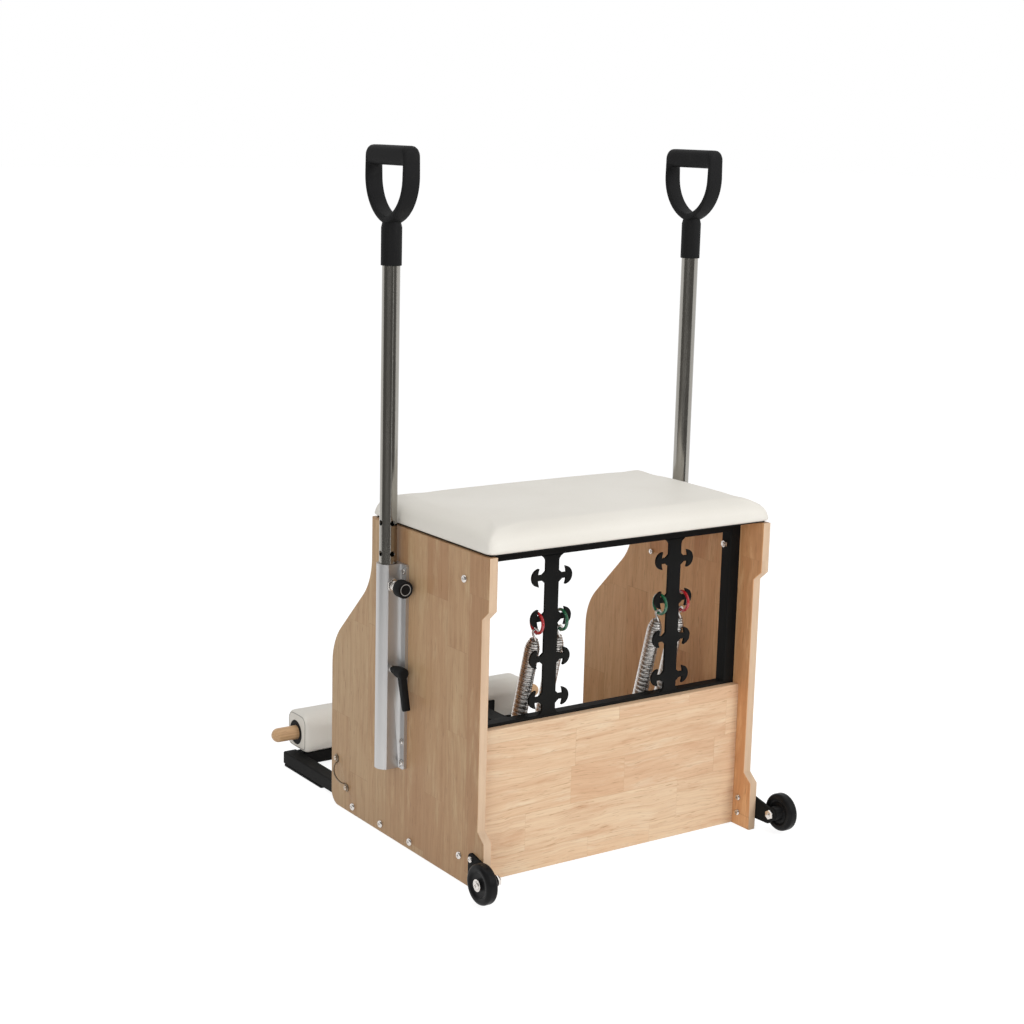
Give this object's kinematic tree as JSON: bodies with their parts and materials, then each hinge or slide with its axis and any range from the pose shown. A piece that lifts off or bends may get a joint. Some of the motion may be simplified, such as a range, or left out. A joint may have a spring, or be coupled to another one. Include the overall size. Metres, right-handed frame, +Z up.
{
  "type": "pilates chair",
  "caption": "Wooden-sided pilates chair with a padded seat, swinging spring-loaded foot pedals, height-adjustable hand poles and transport wheels.",
  "frame": {"origin": "on the floor, in the middle of the chair's length and width", "axes": "+Z up, the user faces -Y, +X is the user's left"},
  "size_m": [0.712, 0.8766, 1.272],
  "materials": {
    "panel_wood": "finger-jointed staves, clear satin varnish",
    "rear_wood": "finger-jointed staves laid level, clear satin varnish",
    "board_wood": "bare plywood",
    "seat_leather": "cream upholstery leather, fine grain",
    "black_steel": "black powder coat",
    "shaft_steel": "turned bright steel",
    "pole_steel": "polished stainless tube",
    "sleeve_aluminium": "satin anodised",
    "black_plastic": "moulded, fine texture",
    "black_rubber": "matte",
    "wheel_rubber": "matte, worn tread",
    "spring_steel": "plated spring wire",
    "ring_red": "red coating",
    "ring_green": "green coating",
    "bright_steel": "bright zinc",
    "dowel_wood": "varnished hardwood rod"
  },
  "bodies": {
    "frame": {"side_panel_left": "panel_wood", "side_panel_right": "panel_wood", "rear_panel": "rear_wood", "seat_board": "board_wood", "seat_cushion": "seat_leather", "post_left": "black_steel", "post_right": "black_steel", "base_rail_left": "black_steel", "base_rail_right": "black_steel", "spring_tree_left": "black_steel", "spring_tree_right": "black_steel", "pivot_bracket_left": "black_steel", "pivot_bracket_right": "black_steel", "wheel_plate_left": "black_steel", "wheel_plate_right": "black_steel", "top_rail": "black_steel", "low_rail": "black_steel", "front_crossbar": "black_steel", "pivot_shaft": "shaft_steel", "shaft_collars": "shaft_steel", "pole_sleeve_left": "sleeve_aluminium", "pole_sleeve_right": "sleeve_aluminium", "tube_plugs": "black_plastic", "floor_pads": "black_rubber", "pedal_stops": "black_rubber", "spring_outer_left": "spring_steel", "spring_outer_right": "spring_steel", "spring_inner_left": "spring_steel", "spring_inner_right": "spring_steel", "spring_rings_outer": "ring_red", "spring_rings_inner": "ring_green", "panel_bolts": "bright_steel", "sleeve_screws": "bright_steel", "wheel_plate_screws": "bright_steel", "strap_loop_screws": "bright_steel", "plunger_body_left": "bright_steel", "plunger_body_right": "bright_steel", "wheel_axle_left": "bright_steel", "wheel_axle_right": "bright_steel", "strap_loop_left": "bright_steel", "strap_loop_right": "bright_steel"},
    "pedal_left": {"pedal_frame_left": "black_steel", "pedal_pad_left": "seat_leather", "pedal_core_left": "board_wood", "pad_bush_left": "black_plastic"},
    "pedal_right": {"pedal_frame_right": "black_steel", "pedal_pad_right": "seat_leather", "pedal_core_right": "board_wood", "pad_bush_right": "black_plastic"},
    "dowel": {"linking_dowel": "dowel_wood"},
    "pole_left": {"pole_left": "pole_steel", "grip_left": "black_plastic"},
    "plunger_left": {"plunger_knob_left": "black_plastic"},
    "lever_left": {"clamp_lever_left": "black_plastic"},
    "wheel_left": {"wheel_left": "wheel_rubber"},
    "pole_right": {"pole_right": "pole_steel", "grip_right": "black_plastic"},
    "plunger_right": {"plunger_knob_right": "black_plastic"},
    "lever_right": {"clamp_lever_right": "black_plastic"},
    "wheel_right": {"wheel_right": "wheel_rubber"}
  },
  "joints": [
    {"name": "pedal_left_swing", "type": "hinge", "parent": "frame", "child": "pedal_left", "pos_m": [0, 0.25125, 0.06], "axis": [-1, 0, 0], "range_deg": [0, 32], "deforming": ["spring_outer_left", "spring_inner_left"]},
    {"name": "pedal_right_swing", "type": "hinge", "parent": "frame", "child": "pedal_right", "pos_m": [0, 0.25125, 0.06], "axis": [-1, 0, 0], "range_deg": [0, 32], "deforming": ["spring_outer_right", "spring_inner_right"]},
    {"name": "dowel_pull", "type": "slide", "parent": "pedal_left", "child": "dowel", "axis": [1, 0, 0], "range_m": [0, 0.33]},
    {"name": "pole_left_slide", "type": "slide", "parent": "frame", "child": "pole_left", "axis": [0, 0, 1], "range_m": [-0.112, 0.168]},
    {"name": "plunger_left_push", "type": "slide", "parent": "frame", "child": "plunger_left", "axis": [0, -1, 0], "range_m": [0, 0.01]},
    {"name": "lever_left_turn", "type": "hinge", "parent": "frame", "child": "lever_left", "pos_m": [0.3355, 0.08475, 0.342], "axis": [0, -1, 0], "range_deg": [0, 170]},
    {"name": "wheel_left_spin", "type": "hinge", "parent": "frame", "child": "wheel_left", "pos_m": [0.34, 0.40225, 0.042], "axis": [1, 0, 0], "continuous": true},
    {"name": "pole_right_slide", "type": "slide", "parent": "frame", "child": "pole_right", "axis": [0, 0, 1], "range_m": [-0.112, 0.168]},
    {"name": "plunger_right_push", "type": "slide", "parent": "frame", "child": "plunger_right", "axis": [0, -1, 0], "range_m": [0, 0.01]},
    {"name": "lever_right_turn", "type": "hinge", "parent": "frame", "child": "lever_right", "pos_m": [-0.3355, 0.08475, 0.342], "axis": [0, 1, 0], "range_deg": [0, 170]},
    {"name": "wheel_right_spin", "type": "hinge", "parent": "frame", "child": "wheel_right", "pos_m": [-0.34, 0.40225, 0.042], "axis": [1, 0, 0], "continuous": true}
  ],
  "couplings": [
    {"joint": "pedal_right_swing", "follows": "pedal_left_swing", "ratio": 1}
  ]
}
